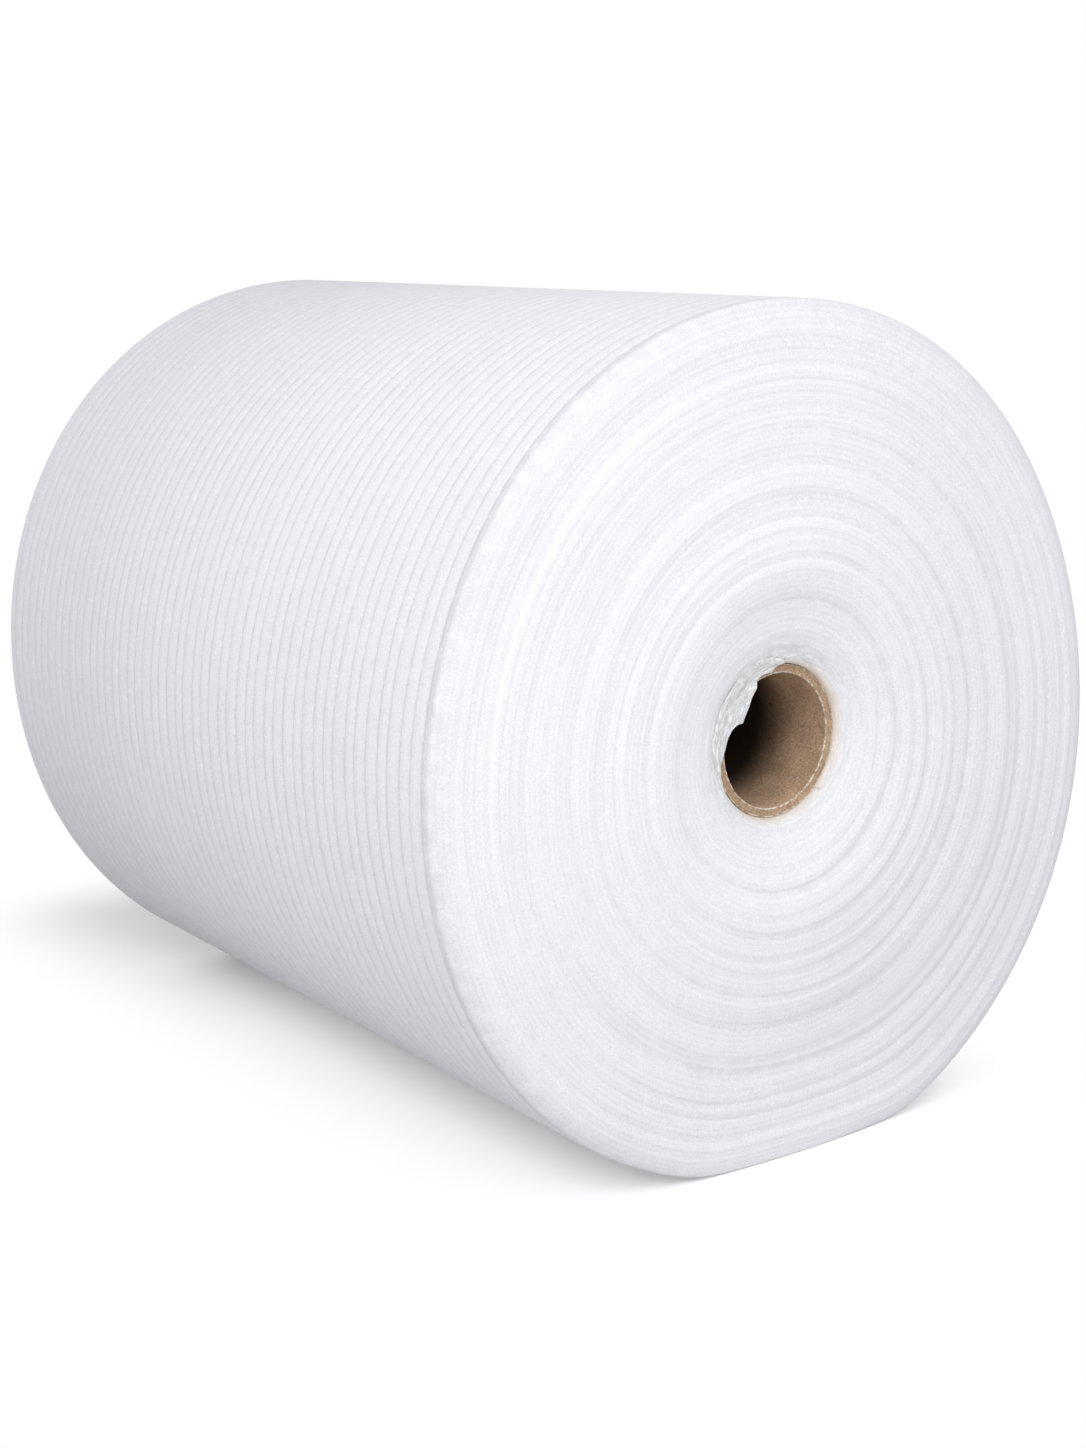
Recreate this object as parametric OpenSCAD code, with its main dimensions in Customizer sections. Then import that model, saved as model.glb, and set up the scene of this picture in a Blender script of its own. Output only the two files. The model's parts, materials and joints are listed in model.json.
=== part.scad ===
// Roll of ribbed foam wrap wound on a kraft tube, lying on its side.
// Millimetres. X runs along the roll, Y points to its back and Z is up.
// The origin is on the floor, under the middle of the roll.

/* [Kraft tube] */
// Inside diameter of the tube
core_bore_d = 76.2; // [50:0.1:155]
// Thickness of the tube's wall
core_wall = 5; // [2:0.5:12]
// How far each end of the tube lies inside the innermost turn's edge
mouth_depth = 4; // [3:0.5:12]

/* [Foam web] */
// Width of the web, which is the length of the roll
web_w = 500; // [300:10:1200]
// Thickness of the web
web_t = 3.2; // [1.5:0.1:6]
// Number of turns on the tube
turns = 62; // [30:1:90]
// Gap between the tube and the first turn
wind_gap = 0.1; // [0.05:0.05:0.5]
// Depth of the flat spot that the roll lies on
flat_depth = 6; // [2:0.5:15]
// How far the soft turns have sagged below the middle of the tube
sag = 2.5; // [0:0.5:3]
// How far the outside is drawn out to its upper front and lower back by slumping
lean = 6.5; // [0:0.5:8]
// Where the web's outer end lies, measured from the top over the back
tail_angle = 135; // [100:1:150]

/* [Ribs of the web] */
// Distance from one rib to the next
rib_pitch = 10.2; // [6:0.1:20]
// Depth of the grooves between the ribs
rib_depth = 0.9; // [0.2:0.1:2]
// How far the grooves wander from even spacing, as a share of the pitch
rib_wander = 0.09; // [0:0.01:0.2]

/* [End faces] */
// How far the innermost turns are drawn in at the tube
funnel_depth = 16; // [4:0.5:24]
// How far the drawn-in turns reach out from the tube
funnel_reach = 58; // [20:1:90]
// Depth of the gap that shows between the edges of two turns
gap_depth = 0.9; // [0.2:0.1:1.5]
// Width of that gap
gap_w = 0.8; // [0.3:0.1:1.2]
// How far the turns sway in and out of the end face
sway = 1.8; // [0:0.1:2.5]
// Number of turns from one swayed band to the next
band_turns = 5.3; // [3:0.1:12]
// Number of turns over which wider bands come and go
wide_band_turns = 13.2; // [8:0.1:30]
// Rounding of the outer rim, measured along the roll
rim_length = 10; // [4:0.5:16]
// Rounding of the outer rim, measured into the roll
rim_depth = 13; // [4:0.5:20]

/* [Torn lip] */
// Thickness of the torn flap of foam over one mouth of the tube
lip_t = 1.2; // [0.6:0.1:2]
// Gap between the flap and the end of the tube
lip_gap = 0.3; // [0.1:0.1:1]
// How much of the flap is held in the foam around the tube
lip_root = 3; // [1:0.5:8]

/* [Hidden] */

kraft = "#a98a70";
foam_white = "#f2f3f7";
cut = 1;
core_bore_r = core_bore_d / 2;
core_r = core_bore_r + core_wall;
core_l = web_w - 2 * (funnel_depth + mouth_depth);
first_r = core_r + wind_gap;
roll_r = first_r + turns * web_t;
axis_z = roll_r + sag - flat_depth;
// The slumped turns: stretched from the upper front to the lower back and squeezed
// across that line, in step with their radius, and sunk round the tube
slump = [[1, 0, 0, 0], [0, 1, -lean / roll_r, 0], [0, -lean / roll_r, 1, -sag], [0, 0, 0, 1]];
ribs = round((web_w - 2 * rim_length) / rib_pitch);
rib_span = (web_w - 2 * rim_length) / ribs;
crown_steps = 4;
// Shape of a rib's crown, where 1 is half a wave and less is a flatter top
crown_power = 0.6;
// Shape of the funnel, where 1 is a straight cone and more is a hollow one
funnel_power = 1.3;
// Share of the sway that the close bands have, and the wide bands have the rest
close_share = 0.6;
// How slack the second half of each turn lies where the next turn begins
slack = 0.2;
// Angle from one groove to the next in the uneven spacing, so that no two repeat
wander_step = 137;

// The torn edge of the flap, from its top end to its low end. Each point has its
// angle from the top towards the front, and how far it lies inside the tube's rim.
tear = [[2, 0], [9, 3.4], [18, 2.2], [27, 2.4], [30, 6.8], [62, 14], [66, 10.5], [73, 7], [88, 3], [99, 0]];

// Share of the funnel's depth, a distance d outside the first turn
function funnel(d) = d < funnel_reach ? pow(1 - d / funnel_reach, funnel_power) : 0;

// How far the rim has curved away, a distance d inside the roll's surface
function rim_drop(d) =
    d < rim_depth ? rim_length * (1 - sqrt(1 - pow(1 - d / rim_depth, 2))) : 0;

// How far a turn's edge is swayed in from the flat end face
function swayed_in(turn) =
    sway * (1 - close_share * sin(360 * turn / band_turns)
        - (1 - close_share) * sin(360 * turn / wide_band_turns));

// Where one turn's edge stands, from the middle of the roll
function edge_at(turn) =
    web_w / 2
    - funnel_depth * funnel(turn * web_t)
    - rim_drop((turns - turn - 0.5) * web_t)
    - swayed_in(turn);

// Height of a rib over its groove, at a share u of the way across the rib
function rib_rise(u) = rib_depth * pow(sin(180 * u), crown_power);

// Where groove number k lies along the roll
function groove_x(k) =
    (k - ribs / 2) * rib_span
    + (k == 0 || k == ribs ? 0 : rib_wander * rib_span * sin(wander_step * k));

// One turn's slit edge and the gap outside it, as distances out and in
turn_edge = [[0, 0], [web_t - gap_w, 0], [web_t - gap_w, gap_depth], [web_t, gap_depth]];

// Edges of all turns on one end face, from the tube out
function end_points(side) = [
    for (turn = [0 : turns - 1], p = turn_edge)
        [first_r + turn * web_t + p[0], side * (edge_at(turn) - p[1])]
];

// The ribbed outside, from the far end to the seen end
function rib_points() = [
    for (k = [0 : ribs - 1], step = [0 : crown_steps - 1])
        let (u = step / crown_steps, width = groove_x(k + 1) - groove_x(k))
            [roll_r - rib_depth + rib_rise(u), groove_x(k) + u * width]
];

function turned_round(points) = [for (i = [len(points) - 1 : -1 : 0]) points[i]];

// Half of the wound web, cut through its axis: radius across, length up
module wound_section() {
    inner_r = first_r - 2 * web_t - sag;
    far_end = concat([[inner_r, -edge_at(0)]], end_points(-1));
    outside = concat(rib_points(), [[roll_r - rib_depth, groove_x(ribs)]]);
    seen_end = concat([[inner_r, edge_at(0)]], end_points(1));
    polygon(concat(far_end, outside, turned_round(seen_end)));
}

// The spiral of all turns, as two halves. Their centres lie a quarter of the web's
// thickness off the axis, one to each side, and the second half is half a thickness
// larger, so that each turn runs on into the next one out and the outermost ends in
// a step as thick as the web. The second half is wound a little slack.
module wound_web() {
    translate([-web_t / 4, 0, 0])
        rotate_extrude(angle = 180)
            wound_section();
    translate([web_t / 4 + slack / 2, 0, 0])
        rotate([0, 0, 180])
            rotate_extrude(angle = 180)
                translate([web_t / 2 + slack / 2, 0])
                    wound_section();
}

// Ragged flap of the first turn, torn off in front of the tube's mouth
module torn_lip() {
    held = core_r + lip_root;
    root = [for (i = [len(tear) - 1 : -1 : 0]) held * [-sin(tear[i][0]), cos(tear[i][0])]];
    edge = [for (p = tear) (core_r - p[1]) * [-sin(p[0]), cos(p[0])]];
    translate([core_l / 2 + lip_gap, 0, 0])
        rotate([90, 0, 90])
            linear_extrude(lip_t)
                polygon(concat(edge, root));
}

module foam_roll() {
    color(foam_white)
        difference() {
            translate([0, 0, axis_z]) {
                difference() {
                    multmatrix(slump)
                        rotate([0, 90, 0])
                            rotate([0, 0, 180 - tail_angle])
                                wound_web();
                    rotate([0, 90, 0])
                        cylinder(h = web_w + 2 * cut, r = first_r, center = true, $fn = 96);
                }
                torn_lip();
            }
            translate([-web_w, -roll_r, -2 * flat_depth - lean])
                cube([2 * web_w, 2 * roll_r, 2 * flat_depth + lean]);
        }
}

module core_tube() {
    color(kraft)
        translate([0, 0, axis_z])
            rotate([0, 90, 0])
                difference() {
                    cylinder(h = core_l, r = core_r, center = true, $fn = 96);
                    cylinder(h = core_l + 2 * cut, r = core_bore_r, center = true, $fn = 96);
                }
}

foam_roll();
core_tube();
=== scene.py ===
import json
import math

import bmesh
import bpy
import numpy as np
from bpy.props import FloatProperty, FloatVectorProperty, IntProperty, PointerProperty
from bpy.types import Operator, Panel, PropertyGroup
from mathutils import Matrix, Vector


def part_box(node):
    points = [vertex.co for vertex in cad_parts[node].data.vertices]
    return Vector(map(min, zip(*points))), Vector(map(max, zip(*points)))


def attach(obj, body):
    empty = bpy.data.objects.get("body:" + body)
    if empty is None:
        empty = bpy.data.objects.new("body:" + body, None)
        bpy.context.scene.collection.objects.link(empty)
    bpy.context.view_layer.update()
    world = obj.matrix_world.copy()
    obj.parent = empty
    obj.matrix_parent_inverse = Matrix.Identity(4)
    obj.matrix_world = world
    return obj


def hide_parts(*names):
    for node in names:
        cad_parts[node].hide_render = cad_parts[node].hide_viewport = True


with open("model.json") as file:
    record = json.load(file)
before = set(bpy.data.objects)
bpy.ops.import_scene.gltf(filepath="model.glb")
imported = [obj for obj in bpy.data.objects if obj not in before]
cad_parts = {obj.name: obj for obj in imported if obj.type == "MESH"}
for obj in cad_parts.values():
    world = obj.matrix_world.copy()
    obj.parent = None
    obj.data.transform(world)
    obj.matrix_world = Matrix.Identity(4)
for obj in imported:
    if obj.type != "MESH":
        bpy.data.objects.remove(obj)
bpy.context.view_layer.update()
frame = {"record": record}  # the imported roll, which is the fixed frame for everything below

bl_info = {
    "name": "Foam Wrap Roll",
    "version": (1, 0, 0),
    "blender": (4, 5, 0),
    "location": "3D View > Sidebar > Foam Roll",
    "description": "Models the look of a roll of ribbed foam wrap on its kraft tube",
    "category": "Object",
}

MM = 0.001
BODY = "root"

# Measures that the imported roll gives, in metres
BORE = next(m for m in frame["record"]["mounts"] if m["kind"] == "bore")
AXIS_Z = BORE["pos_m"][2]
BORE_R = BORE["dims"]["r_mm"] * MM
TUBE_LOW, TUBE_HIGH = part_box("core_tube")
TUBE_R = round((TUBE_HIGH.z - TUBE_LOW.z) / 2, 4)
TUBE_END = round(TUBE_HIGH.x, 4)
AXIS = Vector((0, 0, AXIS_Z))

# The photograph's frame in pixels, and the sensor width that the lens refers to
FRAME_W, FRAME_H = 1086, 1448
SENSOR = 0.036
# Point in the roll that every lamp faces
LAMP_AIM = Vector((0.05, 0, 0.22))

# Lamps: name, place, size in metres, and the property that holds the power
LAMPS = (
    ("Front lamp", (0.9, -1.8, 1.6), 1.0, "front_watts"),
    ("Camera lamp", (1.3, -1.6, 1.5), 0.8, "camera_watts"),
    ("End lamp", (2.1, -0.3, 0.8), 1.2, "end_watts"),
    ("Upper lamp", (1.7, 0, 1.8), 1.3, "upper_watts"),
    ("Back lamp", (1.7, 1.3, 1.2), 1.3, "back_watts"),
)

# Middle of the shadow on the floor, beyond which the floor is painted white and the shadow cut off: its
# ends along the roll, and half its width
SHADOW_BOX = (-0.37, 0.25, 0.1)
# How the soft roll has slumped: millimetres that its outline stands out along the
# cosine and the sine of each multiple of the angle from the top towards the back
SLUMP = ((0, -0.1, 0), (1, -4.9, 0.3), (2, 1.7, -6.2), (3, 1.5, 0.3), (4, -1.1, 0.2))

# How softly the roll meets the floor, and how fast that fades towards the tube
SOFT_LANDING = 2.4 * MM
LANDING_POWER = 5
# How far the end faces stand inside the web's width, and the shape of their funnel
FACE_INSET = 1.2 * MM
FUNNEL_POWER = 1.3
# Sway of the turns in and out of the end: height, waves in each turn, start
SWAYS = ((0.1 * MM, 0.43, 1), (0.3 * MM, 0.117, 2))
# Fine ripple from turn to turn in millimetres: waves in each turn, start
RIPPLE = 0.05
RIPPLES = ((0.47, 0), (0.83, 2))
# From the end of the roll to the last groove
LAST_GROOVE = 13 * MM
# How far the grooves wander from even spacing, and the angle from one to the next
GROOVE_WANDER = 0.09
WANDER_STEP = 137
# How far the last groove is cut deeper than the others, and how much more shade is painted into it
LAST_DEEPER, LAST_PAINTED_SHADE = 0.4, 0.6
# Starts of the random draws
WRINKLE_SEED, BROAD_SEED, WAVES_SEED, DENTS_SEED, FLAP_SEED = 7, 11, 23, 29, 41
RING_SEED, RIB_SEED = 60, 100

# Soft rings pressed into the seen end: radius, depth and half width in millimetres,
# the angle in degrees where each is deepest, and its least depth as a share
RINGS = (
    (62, 0.2, 2.6, 160, 0.4),
    (71, 0.2, 2.2, 30, 0.4),
    (81.5, 0.45, 2.8, 150, 0.6),
    (95, 0.25, 2.2, 70, 0.4),
    (106.5, 0.4, 2.6, 10, 0.4),
    (118, 0.3, 2.4, 330, 0.35),
    (129, 0.25, 2.2, 10, 0.3),
    (139.5, 0.5, 2.4, 20, 0.65),
    (157, 0.3, 2.4, 330, 0.4),
    (176, 0.5, 2.8, 40, 0.6),
    (183.5, 0.45, 2.2, 150, 0.05),
    (199.5, 0.35, 2.2, 130, 0.35),
    (210, 0.15, 2.2, 60, 0.3),
    (221, 0.3, 2.4, 150, 0.25),
    (230, 0.15, 2.2, 90, 0.3),
)

# Points across one turn's edge at an end: share of the web's thickness, and how deep
# the point lies as a share of the gap between two turns
SEEN_EDGE = ((0, 1), (0.3, 0.15), (0.7, 0.1))
FAR_EDGE = ((0, 1), (0.5, 0))
# Points across one rib, and how high each stands as a share of the rib
RIB_CROWN = ((0, 0), (0.07, 0.5), (0.2, 0.86), (0.5, 1), (0.8, 0.9), (0.93, 0.55))
RIM_CROWN = ((0.12, 0.9), (0.45, 1), (0.8, 0.85))

# The torn edge of the flap: degrees from the top towards the front, and the radius
# in millimetres at which it hangs over the mouth of the tube
TEAR = (
    (-3, 44.5), (2, 43.4), (9, 39.8), (14, 40.6), (19, 41), (25, 40.4), (28, 36), (44, 30.8),
    (62, 28.6), (66, 32.4), (72, 35.4), (79, 37.6), (89, 38.9), (95, 40.4), (101, 43), (106, 45),
)

# Where shade is painted into the foam, making it greyer towards the back and the far end as the light
# falls off: axis, where that begins, where it is full, and its share
PAINTED_SHADE_RAMPS = (("Y", -0.15, 0.25, 0.4), ("X", 0.1, -0.25, 0.5))

# Colours of the small marks in the foam and in the board; the cell and flap glints are painted
# highlights, and the flap's crease colour is painted shade
CELL_GLINT = (0.985, 0.988, 1)
FLAP_GLINT = (0.95, 0.95, 0.96)
FLAP_BLOTCH = (0.76, 0.76, 0.77)
FLAP_CREASE_SHADE = (0.58, 0.58, 0.595)
DARK_SPECK = (0.06, 0.035, 0.02)
PALE_SPECK = (0.72, 0.6, 0.48)
WHITE = (1, 1, 1, 1)


class FoamSizes(PropertyGroup):
    """Sizes and colours of the wound foam"""

    web_thickness: FloatProperty(
        name="Web thickness", description="Thickness of the foam web", default=3.2 * MM, unit="LENGTH")
    turns: IntProperty(name="Turns", description="Turns of the web on the tube", default=62, min=2)
    roll_length: FloatProperty(
        name="Roll length", description="Width of the web", default=0.5, unit="LENGTH")
    wind_gap: FloatProperty(
        name="Winding gap", description="Gap between the tube and the first turn",
        default=0.1 * MM, unit="LENGTH")
    tail_angle: FloatProperty(
        name="Outer end", description="Where the web ends, from the top over the back",
        default=math.radians(135), unit="ROTATION")
    steps: IntProperty(name="Steps", description="Steps of the mesh round the roll", default=156, min=24)
    ribs: IntProperty(name="Ribs", description="Ribs across the web", default=47, min=4)
    rib_depth: FloatProperty(
        name="Groove depth", description="Depth of the grooves between ribs",
        default=0.6 * MM, unit="LENGTH")
    rim_length: FloatProperty(
        name="Rim along", description="Rounding of the rim along the roll",
        default=11 * MM, unit="LENGTH")
    rim_depth: FloatProperty(
        name="Rim in", description="Rounding of the rim into the roll", default=14 * MM, unit="LENGTH")
    squeeze: FloatProperty(
        name="Squeezed rim", description="How far round from the floor the rim is squeezed out",
        default=0.08)
    flare: FloatProperty(
        name="Flare", description="How far the low outer turns are pushed out of the end",
        default=5 * MM, unit="LENGTH")
    funnel_depth: FloatProperty(
        name="Funnel depth", description="How far the inner turns are drawn in",
        default=16 * MM, unit="LENGTH")
    funnel_reach: FloatProperty(
        name="Funnel reach", description="How far out the drawn-in turns reach",
        default=58 * MM, unit="LENGTH")
    gap_depth: FloatProperty(
        name="Turn gap", description="Depth of the gap between two turns' edges",
        default=0.1 * MM, unit="LENGTH")
    swell: FloatProperty(
        name="Swell", description="How far the turns swell between two rings of the end",
        default=0.4 * MM, unit="LENGTH")
    settled: FloatProperty(
        name="Settled", description="How far the middle turns have shifted towards the front",
        default=2.6 * MM, unit="LENGTH")
    settled_from: FloatProperty(
        name="Settled from", description="Angle that the middle turns have shifted away from",
        default=math.radians(85), unit="ROTATION")
    colour: FloatVectorProperty(
        name="Foam", description="Colour of the foam's skin", subtype="COLOR", size=3,
        default=(0.885, 0.888, 0.922), min=0, max=1)
    slit_colour: FloatVectorProperty(
        name="Slit foam", description="Colour of the slit edges, which have no skin",
        subtype="COLOR", size=3, default=(0.917, 0.92, 0.947), min=0, max=1)
    # Partly painted shade: this colour also darkens the funnel round the tube
    thin_and_shade_colour: FloatVectorProperty(
        name="Thin foam", description="Colour of the foam drawn thin round the tube",
        subtype="COLOR", size=3, default=(0.8, 0.803, 0.82), min=0, max=1)
    # The colour that painted shade and the foam's random greyer tone turn the foam to
    shade_and_tone_colour: FloatVectorProperty(
        name="Grooves", description="Colour of the foam deep in its grooves", subtype="COLOR",
        size=3, default=(0.72, 0.724, 0.755), min=0, max=1)
    # Painted shade in the creases of the thin foam
    crease_shade_colour: FloatVectorProperty(
        name="Creases", description="Colour of the creases in the thin foam", subtype="COLOR",
        size=3, default=(0.6, 0.603, 0.62), min=0, max=1)
    glow_colour: FloatVectorProperty(
        name="Kraft glow", description="Colour where the kraft tube shows through", subtype="COLOR",
        size=3, default=(0.74, 0.64, 0.53), min=0, max=1)


class FlapSizes(PropertyGroup):
    """Sizes and colours of the torn flap"""

    thickness: FloatProperty(
        name="Thickness", description="Thickness of the stretched foam", default=0.9 * MM, unit="LENGTH")
    root_radius: FloatProperty(
        name="Root", description="Radius where the flap comes out of the turns",
        default=52 * MM, unit="LENGTH")
    crease: FloatProperty(
        name="Creases", description="Height of the creases", default=0.5 * MM, unit="LENGTH")
    colour: FloatVectorProperty(
        name="Flap", description="Colour of the stretched foam", subtype="COLOR", size=3,
        default=(0.96, 0.961, 0.97), min=0, max=1)


class TubeSizes(PropertyGroup):
    """Sizes and colours of the kraft tube"""

    plies: IntProperty(name="Plies", description="Plies of board in the wall", default=6, min=1)
    steps: IntProperty(name="Steps", description="Steps of the mesh round the tube", default=144, min=24)
    wear: FloatProperty(
        name="Wear", description="How far the cut rim is roughened", default=0.25 * MM, unit="LENGTH")
    colour: FloatVectorProperty(
        name="Kraft", description="Colour of the board", subtype="COLOR", size=3,
        default=(0.49, 0.335, 0.22), min=0, max=1)
    rim_colour: FloatVectorProperty(
        name="Cut edge", description="Colour of the cut board and its glue", subtype="COLOR",
        size=3, default=(0.62, 0.48, 0.36), min=0, max=1)
    # The cut rim's edges carry a painted highlight
    edge_highlight_colour: FloatVectorProperty(
        name="Worn edge", description="Colour of the frayed edges of the cut", subtype="COLOR",
        size=3, default=(0.88, 0.79, 0.68), min=0, max=1)


class StudioSizes(PropertyGroup):
    """Camera, lamps and floor"""

    camera_azimuth: FloatProperty(
        name="Azimuth", description="Camera's angle round the roll", default=math.radians(52.93),
        unit="ROTATION")
    camera_elevation: FloatProperty(
        name="Elevation", description="Camera's angle over the horizon",
        default=math.radians(13.02), unit="ROTATION")
    camera_distance: FloatProperty(
        name="Distance", description="From the camera to the point it looks at",
        default=1.3555, unit="LENGTH")
    aim: FloatVectorProperty(
        name="Aim", description="Point that the camera looks at", subtype="XYZ", size=3,
        default=(0.0171, 0, 0.2083), unit="LENGTH")
    focal_pixels: FloatProperty(
        name="Focal length", description="Focal length in pixels of the frame", default=2147.2)
    world_strength: FloatProperty(
        name="World", description="Strength of the even light", default=0.6)
    front_watts: FloatProperty(
        name="Front lamp", description="Power of the lamp above the roll's front", default=14.8)
    camera_watts: FloatProperty(
        name="Camera lamp", description="Power of the lamp above the camera", default=6.9)
    end_watts: FloatProperty(
        name="End lamp", description="Power of the lamp before the seen end", default=5.8)
    upper_watts: FloatProperty(
        name="Upper lamp", description="Power of the lamp above the seen end", default=6.3)
    back_watts: FloatProperty(
        name="Back lamp", description="Power of the lamp behind the seen end", default=4.3)
    floor_lift: FloatProperty(
        name="Floor lift", description="White added to the floor that the camera sees", default=0.25)
    floor_clear: FloatProperty(
        name="Clear floor", description="How far from the shadow's middle the floor is white again",
        default=0.125, unit="LENGTH")


# Small helpers


def uneven(seed, *terms):
    """Smooth uneven values of about -1 to 1, the same each run.

    Each term is (values, lowest, highest, whole): the values to vary over, the range
    of waves per unit, and whether the number of waves is whole.
    """
    draw = np.random.default_rng(seed)
    total = 0
    waves = 6
    for _ in range(waves):
        phase = draw.uniform(0, 2 * math.pi)
        for values, lowest, highest, whole in terms:
            rate = draw.integers(lowest, highest + 1) if whole else draw.uniform(lowest, highest)
            rate = rate * draw.choice((-1, 1))
            phase = phase + values * rate
        total = total + np.sin(phase)
    return total / math.sqrt(waves)


def grid_mesh(name, points, faces, values=None):
    """A new object whose mesh has these points and faces, and float values at its points."""
    mesh = bpy.data.meshes.new(name)
    mesh.from_pydata(points.tolist(), [], faces)
    for key, numbers in (values or {}).items():
        store = mesh.attributes.new(key, "FLOAT", "POINT")
        store.data.foreach_set("value", np.ascontiguousarray(numbers, np.float32))
    piece = bpy.data.objects.new(name, mesh)
    bpy.context.scene.collection.objects.link(piece)
    return piece


def only(piece):
    """Selects one object and makes it active."""
    if bpy.context.mode != "OBJECT":
        bpy.ops.object.mode_set(mode="OBJECT")
    bpy.ops.object.select_all(action="DESELECT")
    piece.select_set(True)
    bpy.context.view_layer.objects.active = piece


def finish_piece(piece, material):
    """Gives a finished piece its material and the body that it rides on."""
    piece.data.materials.clear()
    piece.data.materials.append(material)
    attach(piece, BODY)


# The wound foam


class Winding:
    """Places points of the wound web: how far out, how far round and how far along."""

    def __init__(self, sizes):
        self.web = sizes.web_thickness
        self.turns = sizes.turns
        self.half = sizes.roll_length / 2
        self.first = TUBE_R + sizes.wind_gap
        self.outer = self.first + self.turns * self.web
        self.steps = sizes.steps
        self.wind = np.linspace(0, 2 * math.pi, self.steps + 1)
        self.lap = self.wind / (2 * math.pi)
        self.angle = sizes.tail_angle - self.wind
        self.sizes = sizes

    def slump(self):
        """How far the slumped outline stands out at each angle."""
        total = 0
        for k, along_cos, along_sin in SLUMP:
            total = total + along_cos * np.cos(k * self.angle) + along_sin * np.sin(k * self.angle)
        return total * MM

    def place(self, radius, x):
        """Points round one row, at a radius before the roll slumped."""
        sizes = self.sizes
        share = (radius - self.first) / (self.outer - self.first)
        # The turns at the tube and at the outside have kept their places
        reach = np.clip(share / 0.15, 0, 1) * np.clip((1 - share) / 0.2, 0, 1)
        shift = sizes.settled * reach * -np.cos(self.angle - sizes.settled_from)
        slumped = radius + share * self.slump() + shift
        outline = self.outer + self.lap * self.web + self.slump()
        # What would lie below the floor is lifted, softly, and less towards the tube
        below = (-AXIS_Z - outline * np.cos(self.angle)) / SOFT_LANDING
        lift = SOFT_LANDING * np.logaddexp(0, below) * (slumped / outline) ** LANDING_POWER
        y = slumped * np.sin(self.angle)
        z = slumped * np.cos(self.angle) + lift + AXIS_Z
        return np.stack([np.broadcast_to(x, y.shape), y, z], 1)

    def rim(self, radius):
        """How far the rim has curved away, as a share, and less where it is squeezed."""
        edge = self.first + (self.turns + 1.1) * self.web
        inside = np.clip((edge - radius) / self.sizes.rim_depth, 0, 1)
        curve = 1 - np.sqrt(np.clip(1 - (1 - inside) ** 2, 0, 1))
        squeezed = np.exp((-1 - np.cos(self.angle)) / self.sizes.squeeze)
        return curve * (1 - 0.85 * squeezed)

    def rings(self, radius, rim, seed):
        """Relief of the end's soft rings in millimetres, and the share of shade painted into their lines
        and onto the rim.
        """
        # The rings are clearest at the lower back, and the most shade is painted onto the rim where they
        # are faint
        clear = 0.8 + 0.45 * np.cos(self.angle - math.radians(130))
        relief = 0
        ring_and_rim_shade = 2 * (1.55 - clear) * np.sqrt(rim)
        inner = None
        for number, (ring, depth, width, strongest, least) in enumerate(RINGS):
            place = ring + 0.9 * uneven(RING_SEED + 2 * number + seed, (self.angle, 2, 5, True))
            off = (radius / MM - place) / width
            facing = 0.5 + 0.5 * np.cos(self.angle - math.radians(strongest + 140 * seed))
            share = clear * (least + (1 - least) * facing)
            relief = relief + depth * share * np.exp(-off**2)
            ring_and_rim_shade = ring_and_rim_shade + min(2 * depth, 1) * share * np.exp(-off**2)
            if inner is not None:
                part = np.clip((radius / MM - inner) / (place - inner), 0, 1)
                relief = relief - clear * self.sizes.swell / MM * 4 * part * (1 - part)
            inner = place
        return relief, ring_and_rim_shade

    def end_face(self, wound, seed):
        """How far along the end face stands, and the share of shade painted there into its ring lines
        and onto its rim.

        The winding position is counted in turns.
        """
        sizes = self.sizes
        radius = self.first + wound * self.web
        out = radius - self.first
        funnel = np.clip(1 - out / sizes.funnel_reach, 0, 1) ** FUNNEL_POWER
        rim = self.rim(radius)
        relief, ring_and_rim_shade = self.rings(radius, rim, seed)
        for rate, start in RIPPLES:
            relief = relief + RIPPLE * np.sin(2 * math.pi * rate * wound + start)
        sway = sum(h * np.sin(2 * math.pi * wound * rate + k * seed) for h, rate, k in SWAYS)
        near = np.clip(1 - out / (17 * MM), 0, 1)
        wrinkle = near * uneven(
            WRINKLE_SEED + seed, (self.angle, 5, 17, True), (wound, 0.5, 3, False))
        broad = uneven(BROAD_SEED + seed, (self.angle, 1, 3, True), (wound, 0.1, 0.5, False))
        low_back = np.exp((np.cos(self.angle - math.radians(165)) - 1) / 0.09)
        flared = low_back * np.clip((radius / self.outer - 0.7) / 0.25, 0, 1) ** 2
        x = self.half - sizes.funnel_depth * funnel - sizes.rim_length * rim - FACE_INSET
        x = x + sizes.flare * flared - sway - relief * MM
        return x + (0.6 * wrinkle + 0.35 * broad) * MM, ring_and_rim_shade


def groove_places(sizes):
    """Where the grooves lie along the roll, from its middle."""
    pitch = (sizes.roll_length - 2 * LAST_GROOVE) / sizes.ribs
    k = np.arange(sizes.ribs + 1)
    wander = GROOVE_WANDER * pitch * np.sin(np.radians(WANDER_STEP * k))
    wander[0] = wander[-1] = 0
    return (k - sizes.ribs / 2) * pitch + wander


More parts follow.
